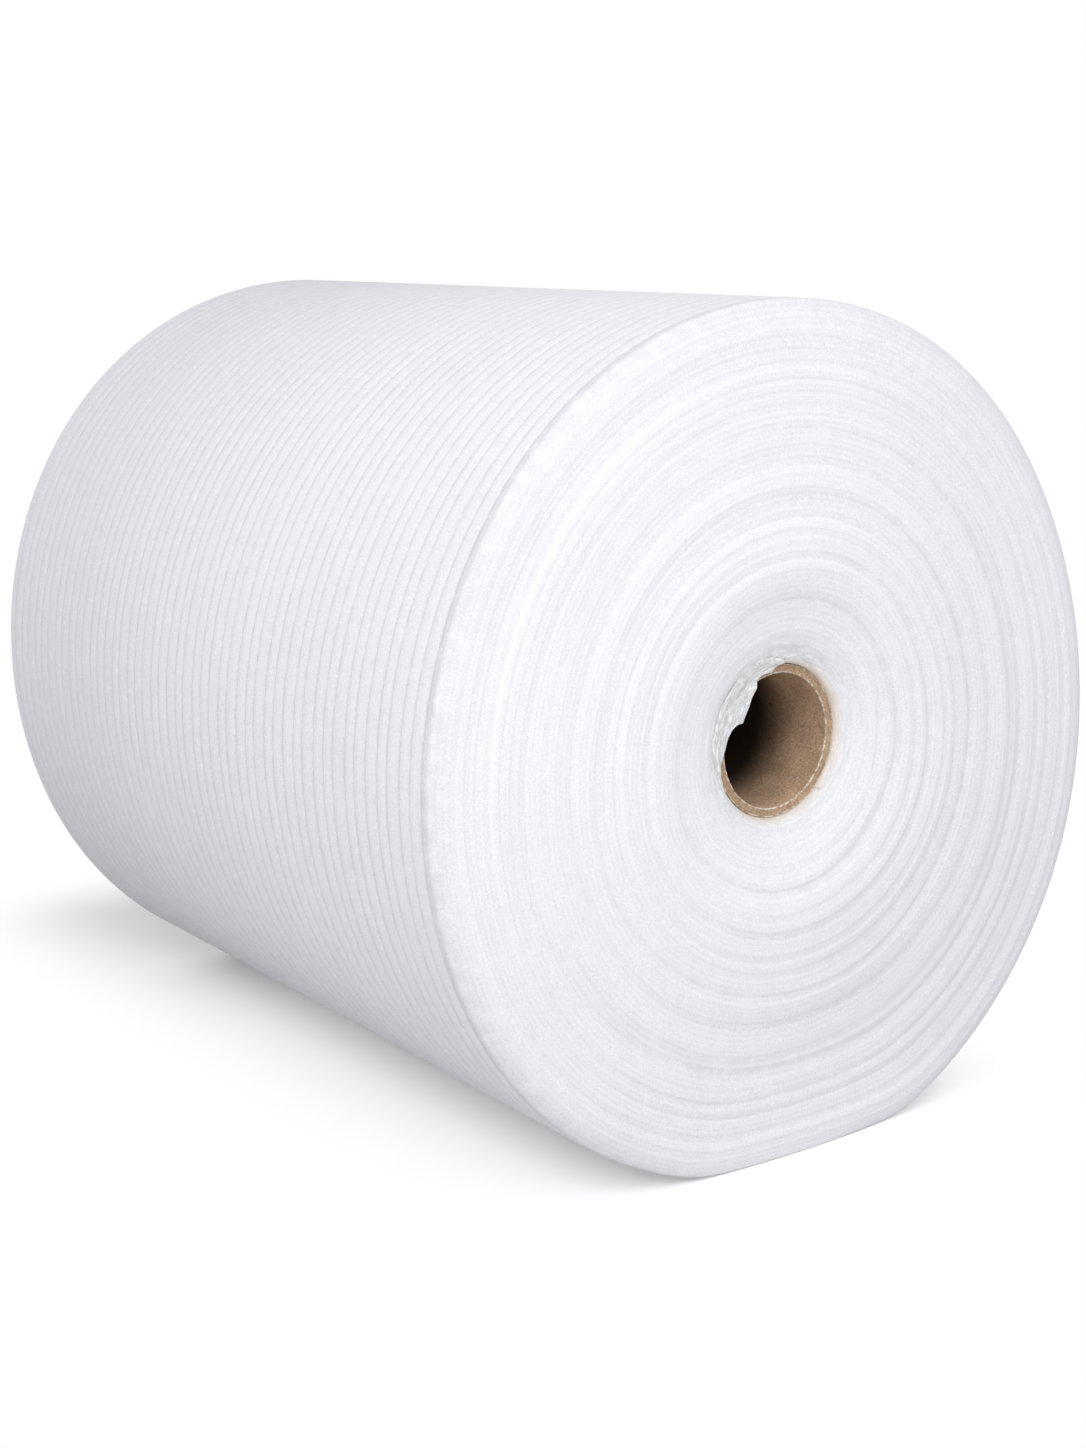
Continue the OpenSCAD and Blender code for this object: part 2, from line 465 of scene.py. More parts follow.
def foam_rows(winding):
    """Rows of points along the web's section, from the seen mouth round to the far one.

    Each row is (points, winding position, groove, kind), where groove is the share of shade painted
    there.
    """
    sizes = winding.sizes
    outer = winding.outer + winding.lap * winding.web
    outermost = sizes.turns + winding.lap
    rows = []

    def add(points, wound, groove, kind):
        rows.append((points, np.broadcast_to(wound, winding.lap.shape), groove, kind))

    def end_row(side, turn, share, deep, seed):
        wound = turn + share + winding.lap
        x, ring_and_rim_shade = winding.end_face(wound, seed)
        # The gaps between the turns are deeper in some places than in others
        rate = 2 * math.pi * wound
        strength = 0.75 + 0.35 * np.sin(0.31 * rate) * np.sin(0.083 * rate)
        strength = strength + 0.25 * np.sin(2.7 * rate + 1)
        x = x - sizes.gap_depth * deep * strength
        # Shade is painted into the gaps between the turns, into the ring lines and onto the rim
        shade = 0.3 * deep + 0.5 * ring_and_rim_shade
        add(winding.place(winding.first + wound * winding.web, side * x), wound, shade, "end")

    def outside_row(x, rise, groove, seed):
        along = x / sizes.roll_length
        waves = uneven(WAVES_SEED, (winding.angle, 2, 6, True), (along, 3, 9, False))
        dents = uneven(DENTS_SEED, (winding.angle, 1, 4, True), (along, 2, 5, False))
        # The grooves are shallowest at the top and deepest at the floor, and the shade painted into them
        # darkens towards the floor the same way
        deeper = 1.2 - 0.35 * np.cos(winding.angle)
        uneven_depth = deeper * (1 + 0.3 * uneven(seed, (winding.angle, 1, 7, True)))
        radius = outer - sizes.rib_depth * (1 - rise) * uneven_depth + 0.25 * MM * dents
        add(winding.place(radius, x + 0.5 * MM * waves), outermost, groove * deeper, "out")

    def rim_rows(side, groove_x, order):
        corner, _ = winding.end_face(outermost, 0 if side > 0 else 1)
        for share, rise in order:
            x = side * (corner + share * (abs(groove_x) - corner))
            radius = outer - sizes.rib_depth * (1 - rise)
            # The rim's rows get the full painted shade
            add(winding.place(radius, x), outermost, 1, "out")

    grooves = groove_places(sizes)
    for turn in range(sizes.turns):
        for share, deep in SEEN_EDGE:
            end_row(1, turn, share, deep, 0)
    end_row(1, sizes.turns, 0, 1, 0)
    rim_rows(1, grooves[-1], RIM_CROWN)
    for k in range(sizes.ribs, 0, -1):
        for share, rise in RIB_CROWN:
            x = grooves[k] + share * (grooves[k - 1] - grooves[k])
            # Shade is painted into each groove, most at its bottom, and more into the last groove
            last = k == sizes.ribs and share == 0
            outside_row(
                x, rise - LAST_DEEPER * last, 1 - rise + LAST_PAINTED_SHADE * last, RIB_SEED + k)
    outside_row(grooves[0], 0, 1, RIB_SEED)
    rim_rows(-1, grooves[0], RIM_CROWN[::-1])
    end_row(-1, sizes.turns, 0, 1, 1)
    for turn in range(sizes.turns - 1, -1, -1):
        for share, deep in FAR_EDGE[::-1]:
            end_row(-1, turn, share, deep, 1)
    for side in (-1, 1):
        x = side * (TUBE_END - 1 * MM)
        # The bore's rows get the full painted shade
        add(winding.place(np.full(winding.lap.shape, winding.first), x), 0, 1, "bore")
    return rows


def foam_faces(kinds, steps):
    """Faces between the rows, with the step at the web's outer end and its inner start closed."""
    count = len(kinds)
    wide = steps + 1
    faces = []
    for i in range(count):
        k = (i + 1) % count
        for j in range(steps):
            faces.append((i * wide + j, k * wide + j, k * wide + j + 1, i * wide + j + 1))
    # The step at the outer end runs along the outside, from one end face to the other
    first_out = kinds.index("out") - 1
    last_out = count - kinds[::-1].index("out")
    for i in range(first_out, last_out):
        faces.append((i * wide, i * wide + steps, (i + 1) * wide + steps, (i + 1) * wide))
    # The web's cut section at its outer end and at its inner start, on both end faces
    seen, far = len(SEEN_EDGE), len(FAR_EDGE)
    seen_cut = [i * wide + steps for i in range(first_out - seen + 1, first_out + 1)]
    faces.append([first_out * wide] + seen_cut)
    far_cut = [i * wide + steps for i in range(last_out, last_out + far)]
    faces.append([last_out * wide] + far_cut[::-1])
    faces.append([(count - 1) * wide] + [i * wide for i in range(seen + 1)])
    last_end = count - 3
    faces.append([(count - 2) * wide] + [i * wide for i in range(last_end, last_end - far - 1, -1)])
    return faces


def wind_foam(sizes):
    """The wound foam as one closed mesh whose turns run on into each other."""
    winding = Winding(sizes)
    rows = foam_rows(winding)
    points = np.concatenate([r[0] for r in rows])
    wound = np.concatenate([r[1] for r in rows])
    groove = np.concatenate([np.broadcast_to(np.float64(r[2]), winding.lap.shape) for r in rows])
    faces = foam_faces([r[3] for r in rows], winding.steps)
    piece = grid_mesh("foam_web", points, faces, {"wound": wound, "groove": groove})
    shape = bmesh.new()
    shape.from_mesh(piece.data)
    bmesh.ops.remove_doubles(shape, verts=shape.verts, dist=0.002 * MM)
    bmesh.ops.recalc_face_normals(shape, faces=shape.faces)
    for face in shape.faces:
        face.smooth = True
    open_edges = sum(1 for e in shape.edges if not e.is_manifold)
    shape.to_mesh(piece.data)
    shape.free()
    if open_edges:
        raise RuntimeError(f"the wound foam has {open_edges} open edges")
    return piece


# The torn flap


def tear_flap(sizes, foam):
    """The flap of stretched foam over the tube's mouth, torn along a ragged edge."""
    angles = np.array([a for a, _ in TEAR], float)
    radii = np.array([r for _, r in TEAR], float) * MM
    low, high = angles[0], angles[-1]
    round_at = np.unique(np.concatenate([np.arange(low, high, 1.5), angles]))
    edge = np.interp(round_at, angles, radii)
    across = np.linspace(0, 1, 15)
    ang, part = np.meshgrid(np.radians(round_at), across, indexing="ij")
    # The root comes closer to the tube at both ends of the tear
    ease = np.clip(np.minimum(round_at - low, high - round_at) / 14, 0, 1)
    root = TUBE_R + (sizes.root_radius - TUBE_R) * (0.35 + 0.65 * ease)
    radius = root[:, None] + (edge - root)[:, None] * part
    # Where the end face of the turns stands
    winding_first = TUBE_R + foam.wind_gap
    out = np.clip(radius - winding_first, 0, None)
    funnel = foam.funnel_depth * (1 - out / foam.funnel_reach) ** FUNNEL_POWER
    face = foam.roll_length / 2 - FACE_INSET - funnel
    # The flap rests on the tube's rim, rises to the turns outside it and droops inside it
    rest = TUBE_END + 0.35 * MM + sizes.thickness
    over = np.clip((radius - TUBE_R) / (5 * MM), 0, 1)
    x = rest + (face - rest) * over**0.8 + 0.5 * MM * np.sin(math.pi * over)
    hang = np.clip((BORE_R - radius) / (9 * MM), 0, 1)
    x = x - 1.2 * MM * hang**1.5
    rough = uneven(FLAP_SEED, (ang, 3, 14, True), (part, 2, 9, False))
    crease = np.sin(part * 23 + 2 * np.sin(ang * 3)) * np.clip(1 - part, 0, 1)
    x = x + sizes.crease * (0.5 * rough + 0.7 * crease)
    x = np.maximum(x, np.where(radius > BORE_R - 1 * MM, rest - 0.1 * MM, TUBE_END - 3 * MM))
    # Its root is sunk into the turns that it comes out of
    sunk = np.clip(1 - 2.5 * part, 0, 1) * np.clip((radius - TUBE_R) / (3 * MM), 0, 1)
    x = x - 1.7 * MM * sunk
    points = np.stack([x, -radius * np.sin(ang), radius * np.cos(ang) + AXIS_Z], -1).reshape(-1, 3)
    n, m = ang.shape
    faces = [
        (i * m + j, i * m + j + 1, (i + 1) * m + j + 1, (i + 1) * m + j)
        for i in range(n - 1) for j in range(m - 1)
    ]
    piece = grid_mesh("torn_flap", points, faces, {"groove": np.zeros(n * m)})
    only(piece)
    bpy.ops.object.mode_set(mode="EDIT")
    bpy.ops.mesh.select_all(action="SELECT")
    bpy.ops.mesh.normals_make_consistent(inside=False)
    bpy.ops.object.mode_set(mode="OBJECT")
    thick = piece.modifiers.new("Thickness", "SOLIDIFY")
    thick.thickness = sizes.thickness
    thick.offset = 1
    smooth = piece.modifiers.new("Rounding", "SUBSURF")
    smooth.levels = smooth.render_levels = 1
    for name in (thick.name, smooth.name):
        bpy.ops.object.modifier_apply(modifier=name)
    bpy.ops.object.shade_smooth()
    return piece


# The kraft tube


def tube_profile(sizes):
    """Places along the tube's section as (x, radius): seen rim, bore, far rim."""
    wall = TUBE_R - BORE_R
    ply = wall / sizes.plies
    line = 0.1 * MM
    round_off = 0.35 * MM
    rim = [(-2 * round_off, 0), (-0.3 * round_off, 0.5 * round_off), (0, round_off)]
    for k in range(1, sizes.plies):
        rim += [(0, k * ply - line), (-0.22 * MM, k * ply), (0, k * ply + line)]
    rim += [(0, wall - round_off), (-0.3 * round_off, wall - 0.4 * round_off), (-2 * round_off, wall)]
    seen = [(TUBE_END + dx, TUBE_R - into) for dx, into in rim]
    bore = [(x, BORE_R) for x in np.linspace(TUBE_END, -TUBE_END, 42)[1:-1]]
    far = [(-x, radius) for x, radius in reversed(seen)]
    return seen + bore + far


def make_tube(sizes):
    """The kraft tube, drawn out ring by ring from the seen rim through the bore."""
    profile = tube_profile(sizes)
    x, radius = profile[0]
    bpy.ops.mesh.primitive_circle_add(
        vertices=sizes.steps, radius=radius, location=(x, 0, AXIS_Z), rotation=(0, math.pi / 2, 0))
    piece = bpy.context.active_object
    piece.name = piece.data.name = "kraft_core"
    only(piece)
    bpy.ops.object.transform_apply(location=True, rotation=True, scale=True)
    bpy.ops.object.mode_set(mode="EDIT")
    bpy.ops.mesh.select_mode(type="EDGE")
    bpy.ops.mesh.select_all(action="SELECT")
    for next_x, next_radius in profile[1:]:
        bpy.ops.mesh.extrude_edges_move(TRANSFORM_OT_translate={"value": (next_x - x, 0, 0)})
        scale = next_radius / radius
        bpy.ops.transform.resize(value=(1, scale, scale), center_override=(next_x, 0, AXIS_Z))
        x, radius = next_x, next_radius
    bpy.ops.mesh.select_all(action="DESELECT")
    bpy.ops.mesh.select_non_manifold()
    bpy.ops.mesh.bridge_edge_loops()
    bpy.ops.mesh.select_all(action="SELECT")
    bpy.ops.mesh.normals_make_consistent(inside=False)
    bpy.ops.object.mode_set(mode="OBJECT")
    roughen_rims(piece, sizes)
    bpy.ops.object.shade_smooth_by_angle(angle=math.radians(40))
    return piece


def roughen_rims(piece, sizes):
    """Frays the two cut rims a little and lets the tube's ends wave."""
    for v in piece.data.vertices:
        at_rim = abs(v.co.x) > TUBE_END - 1.2 * MM
        angle = math.atan2(v.co.y, v.co.z - AXIS_Z)
        if at_rim:
            v.co.x += math.copysign(0.18 * MM * math.sin(3 * angle + 1) * math.sin(7 * angle), v.co.x)
        v.select = at_rim
    for e in piece.data.edges:
        e.select = all(piece.data.vertices[i].select for i in e.vertices)
    for f in piece.data.polygons:
        f.select = all(piece.data.vertices[i].select for i in f.vertices)
    only(piece)
    bpy.ops.object.mode_set(mode="EDIT")
    bpy.ops.mesh.select_mode(type="VERT")
    bpy.ops.transform.vertex_random(offset=sizes.wear, uniform=0.4, normal=0.2, seed=4)
    bpy.ops.object.mode_set(mode="OBJECT")


# Materials


class Nodes:
    """Adds and links nodes of one tree."""

    def __init__(self, tree):
        self.tree = tree

    def add(self, kind, settings=None, **inputs):
        node = self.tree.nodes.new(kind)
        for key, value in (settings or {}).items():
            setattr(node, key, value)
        for key, value in inputs.items():
            self.feed(node, key.replace("_", " "), value)
        return node

    def feed(self, node, key, value):
        target = node.inputs[int(key)] if key.isdigit() else node.inputs[key]
        if isinstance(value, bpy.types.NodeSocket):
            self.tree.links.new(value, target)
        else:
            target.default_value = value

    def math(self, operation, a, b=0.0, clamp=False):
        node = self.tree.nodes.new("ShaderNodeMath")
        node.operation = operation
        node.use_clamp = clamp
        self.feed(node, "0", a)
        self.feed(node, "1", b)
        return node.outputs[0]

    def ramp(self, value, low, high, to_low=0.0, to_high=1.0):
        node = self.add("ShaderNodeMapRange", {"clamp": True, "interpolation_type": "SMOOTHSTEP"})
        for key, number in (("Value", value), ("From Min", low), ("From Max", high),
                            ("To Min", to_low), ("To Max", to_high)):
            self.feed(node, key, number)
        return node.outputs["Result"]

    def mix(self, share, a, b):
        node = self.tree.nodes.new("ShaderNodeMix")
        node.data_type = "RGBA"
        self.feed(node, "0", share)
        for key, value in (("6", a), ("7", b)):
            self.feed(node, key, value)
        return node.outputs[2]


def colour4(colour):
    return (*colour, 1.0)


def new_group(name, inputs, outputs):
    """A shader node group with named float or vector sockets."""
    group = bpy.data.node_groups.new(name, "ShaderNodeTree")
    for label, kind, value in inputs:
        made = group.interface.new_socket(label, in_out="INPUT", socket_type=kind)
        if value is not None:
            made.default_value = value
    for label, kind in outputs:
        group.interface.new_socket(label, in_out="OUTPUT", socket_type=kind)
    nodes = Nodes(group)
    return group, nodes, nodes.add("NodeGroupInput"), nodes.add("NodeGroupOutput")


def foam_cells_group():
    """Closed cells of blown foam: their relief, and the few whose skins catch the light."""
    group, n, given, out = new_group(
        "Foam cells",
        [("Vector", "NodeSocketVector", None), ("Cells", "NodeSocketFloat", 700.0),
         ("Bright share", "NodeSocketFloat", 0.06)],
        [("Height", "NodeSocketFloat"), ("Bright", "NodeSocketFloat")])
    cells = n.add("ShaderNodeTexVoronoi", {"feature": "F1"}, Vector=given.outputs["Vector"],
                  Scale=given.outputs["Cells"])
    fine = n.add("ShaderNodeTexNoise", Vector=given.outputs["Vector"],
                 Scale=n.math("MULTIPLY", given.outputs["Cells"], 2.2), Detail=3.0, Roughness=0.6)
    height = n.math("ADD", n.math("MULTIPLY", cells.outputs["Distance"], 0.5), fine.outputs["Fac"])
    split = n.add("ShaderNodeSeparateColor", Color=cells.outputs["Color"])
    chosen = n.math("LESS_THAN", split.outputs[0], given.outputs["Bright share"])
    spot = n.ramp(cells.outputs["Distance"], 0.42, 0.12)
    n.feed(out, "Height", height)
    n.feed(out, "Bright", n.math("MULTIPLY", chosen, spot))
    return group


def creases_group():
    """Creases drawn round the tube in foam that is stretched thin."""
    group, n, given, out = new_group(
        "Creases",
        [("Vector", "NodeSocketVector", None), ("Across", "NodeSocketFloat", 420.0),
         ("Round", "NodeSocketFloat", 5.0)],
        [("Height", "NodeSocketFloat"), ("Radius", "NodeSocketFloat"), ("Angle", "NodeSocketFloat")])
    parts = n.add("ShaderNodeSeparateXYZ", Vector=given.outputs["Vector"])
    y, z = parts.outputs["Y"], n.math("SUBTRACT", parts.outputs["Z"], AXIS_Z)
    radius = n.math("SQRT", n.math("ADD", n.math("MULTIPLY", y, y), n.math("MULTIPLY", z, z)))
    angle = n.math("ARCTAN2", n.math("MULTIPLY", y, -1.0), z)
    drawn = n.add("ShaderNodeCombineXYZ", X=n.math("MULTIPLY", radius, given.outputs["Across"]),
                  Y=n.math("MULTIPLY", angle, given.outputs["Round"]), Z=0.5)
    creases = n.add("ShaderNodeTexNoise", Vector=drawn.outputs[0], Scale=1.0, Detail=4.0, Roughness=0.6,
                    Distortion=0.6)
    sharp = n.math("ABSOLUTE", n.math("SUBTRACT", creases.outputs["Fac"], 0.5))
    n.feed(out, "Height", n.ramp(sharp, 0.0, 0.1))
    n.feed(out, "Radius", radius)
    n.feed(out, "Angle", angle)
    return group


def specks_group():
    """Scattered small specks of a given size, as a mask."""
    group, n, given, out = new_group(
        "Specks",
        [("Vector", "NodeSocketVector", None), ("Spacing", "NodeSocketFloat", 200.0),
         ("Share", "NodeSocketFloat", 0.2), ("Size", "NodeSocketFloat", 0.2)],
        [("Mask", "NodeSocketFloat")])
    cells = n.add("ShaderNodeTexVoronoi", {"feature": "F1"}, Vector=given.outputs["Vector"],
                  Scale=given.outputs["Spacing"])
    split = n.add("ShaderNodeSeparateColor", Color=cells.outputs["Color"])
    chosen = n.math("LESS_THAN", split.outputs[1], given.outputs["Share"])
    ragged = n.add("ShaderNodeTexNoise", Vector=given.outputs["Vector"],
                   Scale=n.math("MULTIPLY", given.outputs["Spacing"], 3.0), Detail=2.0)
    reach = n.math("MULTIPLY", given.outputs["Size"], n.math("MULTIPLY", ragged.outputs["Fac"], 2.0))
    near = n.math("LESS_THAN", cells.outputs["Distance"], reach)
    n.feed(out, "Mask", n.math("MULTIPLY", chosen, near))
    return group


def new_material(name):
    """An empty material with one Principled shader on its surface."""
    material = bpy.data.materials.new(name)
    material.use_nodes = True
    material.node_tree.nodes.clear()
    nodes = Nodes(material.node_tree)
    shader = nodes.add("ShaderNodeBsdfPrincipled")
    surface = nodes.add("ShaderNodeOutputMaterial")
    nodes.feed(surface, "Surface", shader.outputs["BSDF"])
    return material, nodes, shader


def use_group(nodes, group, **inputs):
    """Places a node group in a material with its own values."""
    node = nodes.tree.nodes.new("ShaderNodeGroup")
    node.node_tree = group
    for key, value in inputs.items():
        nodes.feed(node, key.replace("_", " "), value)
    return node


def foam_material(sizes):
    """White blown foam: fine cells, painted glints on a few bright skins, and painted shade that makes
    it greyer in its grooves, on its rim, low on the seen end and towards the back and the far end.
    """
    material, n, shader = new_material("Blown foam")
    place = n.add("ShaderNodeTexCoord").outputs["Object"]
    cells = use_group(
        n, bpy.data.node_groups["Foam cells"], Vector=place, Cells=850.0, Bright_share=0.16)
    # The groove attribute holds the share of shade painted into gaps, grooves, ring lines and the rim
    groove = n.add("ShaderNodeAttribute", {"attribute_name": "groove"}).outputs["Fac"]
    wound = n.add("ShaderNodeAttribute", {"attribute_name": "wound"}).outputs["Fac"]
    parts = n.add("ShaderNodeSeparateXYZ", Vector=place)
    base = n.mix(n.ramp(wound, sizes.turns - 6.0, sizes.turns - 1.0),
                 colour4(sizes.slit_colour), colour4(sizes.colour))
    cloud = n.add("ShaderNodeTexNoise", Vector=place, Scale=9.0, Detail=3.0)
    grain = n.add("ShaderNodeTexNoise", Vector=place, Scale=900.0, Detail=2.0, Roughness=0.7)
    broken = n.add("ShaderNodeTexNoise", Vector=place, Scale=110.0, Detail=3.0)
    # Painted shade: the foam is made greyer towards the back and the far end
    shade = 0.0
    for axis, begins, full, share in PAINTED_SHADE_RAMPS:
        shade = n.math("ADD", shade, n.ramp(parts.outputs[axis], begins, full, 0.0, share))
    # Painted shade low on the seen end: greyer towards the floor
    low = n.math("MULTIPLY", n.ramp(parts.outputs["Z"], 0.3, 0.05, 0.0, 0.3),
                 n.ramp(wound, sizes.turns - 1.0, sizes.turns - 6.0))
    shade = n.math("ADD", shade, low)
    shade = n.math("ADD", shade, n.ramp(cloud.outputs["Fac"], 0.4, 0.75, 0.0, 0.1))
    shade = n.math("ADD", shade, n.ramp(grain.outputs["Fac"], 0.38, 0.68, 0.0, 0.4))
    # Painted shade on the outer turns near the rim
    shade = n.math("ADD", shade, n.ramp(wound, sizes.turns - 5.0, sizes.turns - 1.5, 0.0, 0.15))
    # Painted shade in the gaps, grooves, ring lines and rim that the groove attribute marks, broken up
    # by noise
    groove_shade = n.math("MULTIPLY", groove, n.ramp(broken.outputs["Fac"], 0.35, 0.6, 0.35, 0.8))
    shade = n.math("ADD", shade, groove_shade, clamp=True)
    base = n.mix(shade, base, colour4(sizes.shade_and_tone_colour))
    creases = use_group(n, bpy.data.node_groups["Creases"], Vector=place)
    thin = thin_and_shade_mask(n, place, parts, creases)
    # Thin foam round the tube, partly painted shade in the funnel there
    base = n.mix(n.math("MULTIPLY", thin, 0.8), base, colour4(sizes.thin_and_shade_colour))
    # Painted shade in the creases of the thin foam
    crease_shade = n.math("MULTIPLY", thin, n.math("SUBTRACT", 1.0, creases.outputs["Height"]))
    base = n.mix(n.math("MULTIPLY", crease_shade, 0.85), base, colour4(sizes.crease_shade_colour))
    glow = n.math("MULTIPLY", n.ramp(wound, 1.6, 0.1), n.ramp(cloud.outputs["Fac"], 0.3, 0.6, 0.45, 0.8))
    base = n.mix(glow, base, colour4(sizes.glow_colour))
    # Painted glints on the few cells whose skins catch the light
    base = n.mix(n.math("MULTIPLY", cells.outputs["Bright"], 0.7), base, colour4(CELL_GLINT))
    n.feed(shader, "Base Color", base)
    gloss = n.math("MULTIPLY", cells.outputs["Bright"], 0.4)
    n.feed(shader, "Roughness", n.math("SUBTRACT", 0.75, gloss))
    streak_at = n.add("ShaderNodeCombineXYZ", X=n.math("MULTIPLY", wound, 2.2),
                      Y=n.math("MULTIPLY", parts.outputs["Y"], 14.0),
                      Z=n.math("MULTIPLY", parts.outputs["Z"], 14.0))
    streak = n.add("ShaderNodeTexNoise", Vector=streak_at.outputs[0], Scale=1.0, Detail=4.0)
    height = n.math("ADD", cells.outputs["Height"], n.math("MULTIPLY", streak.outputs["Fac"], 1.5))
    thin_creases = n.math("MULTIPLY", thin, creases.outputs["Height"])
    height = n.math("ADD", height, n.math("MULTIPLY", thin_creases, 3.5))
    bump = n.add("ShaderNodeBump", Strength=0.35, Distance=0.25 * MM, Height=height)
    n.feed(shader, "Normal", bump.outputs["Normal"])
    shader.inputs["Subsurface Weight"].default_value = 0.45
    shader.inputs["Subsurface Radius"].default_value = (1.0, 1.0, 1.1)
    shader.inputs["Subsurface Scale"].default_value = 5 * MM
    shader.inputs["Specular IOR Level"].default_value = 0.12
    return material


def thin_and_shade_mask(n, place, parts, creases):
    """Where the foam round the tube is drawn thin and shade is painted into the funnel round it: close
    in, most at its upper front.
    """
    facing = n.math("COSINE", n.math("SUBTRACT", creases.outputs["Angle"], math.radians(50)))
    ragged = n.add("ShaderNodeTexNoise", Vector=place, Scale=150.0, Detail=5.0, Roughness=0.65)
    reach = n.math("ADD", creases.outputs["Radius"], n.math("MULTIPLY", ragged.outputs["Fac"], 0.014))
    near = n.ramp(reach, TUBE_R + 27 * MM, TUBE_R + 8 * MM)
    mask = n.math("MULTIPLY", n.ramp(facing, -0.6, 0.75, 0.35, 1.0), near)
    seen = n.math("GREATER_THAN", parts.outputs["X"], 0.0)
    return n.math("MULTIPLY", mask, seen)


def flap_material(sizes):
    """Foam stretched thin, greyer in blotches, with painted shade in its creases and painted glints on a
    few cells.
    """
    material, n, shader = new_material("Stretched foam")
    place = n.add("ShaderNodeTexCoord").outputs["Object"]
    cells = use_group(
        n, bpy.data.node_groups["Foam cells"], Vector=place, Cells=900.0, Bright_share=0.12)
    blotch = n.add("ShaderNodeTexNoise", Vector=place, Scale=240.0, Detail=4.0, Roughness=0.65)
    base = n.mix(n.ramp(blotch.outputs["Fac"], 0.35, 0.7, 0.0, 0.5),
                 colour4(sizes.colour), colour4(FLAP_BLOTCH))
    creases = use_group(n, bpy.data.node_groups["Creases"], Vector=place)
    # Painted shade in the flap's creases
    base = n.mix(n.math("MULTIPLY", n.math("SUBTRACT", 1.0, creases.outputs["Height"]), 0.7),
                 base, colour4(FLAP_CREASE_SHADE))
    # Painted glints on a few of the flap's cells
    base = n.mix(cells.outputs["Bright"], base, colour4(FLAP_GLINT))
    n.feed(shader, "Base Color", base)
    shader.inputs["Roughness"].default_value = 0.5
    height = n.math("ADD", cells.outputs["Height"], n.math("MULTIPLY", blotch.outputs["Fac"], 3.0))
    height = n.math("ADD", height, n.math("MULTIPLY", creases.outputs["Height"], 3.0))
    bump = n.add("ShaderNodeBump", Strength=0.5, Distance=0.4 * MM, Height=height)
    n.feed(shader, "Normal", bump.outputs["Normal"])
    shader.inputs["Subsurface Weight"].default_value = 0.3
    shader.inputs["Subsurface Radius"].default_value = (1.0, 1.0, 1.0)
    shader.inputs["Subsurface Scale"].default_value = 1.5 * MM
    return material


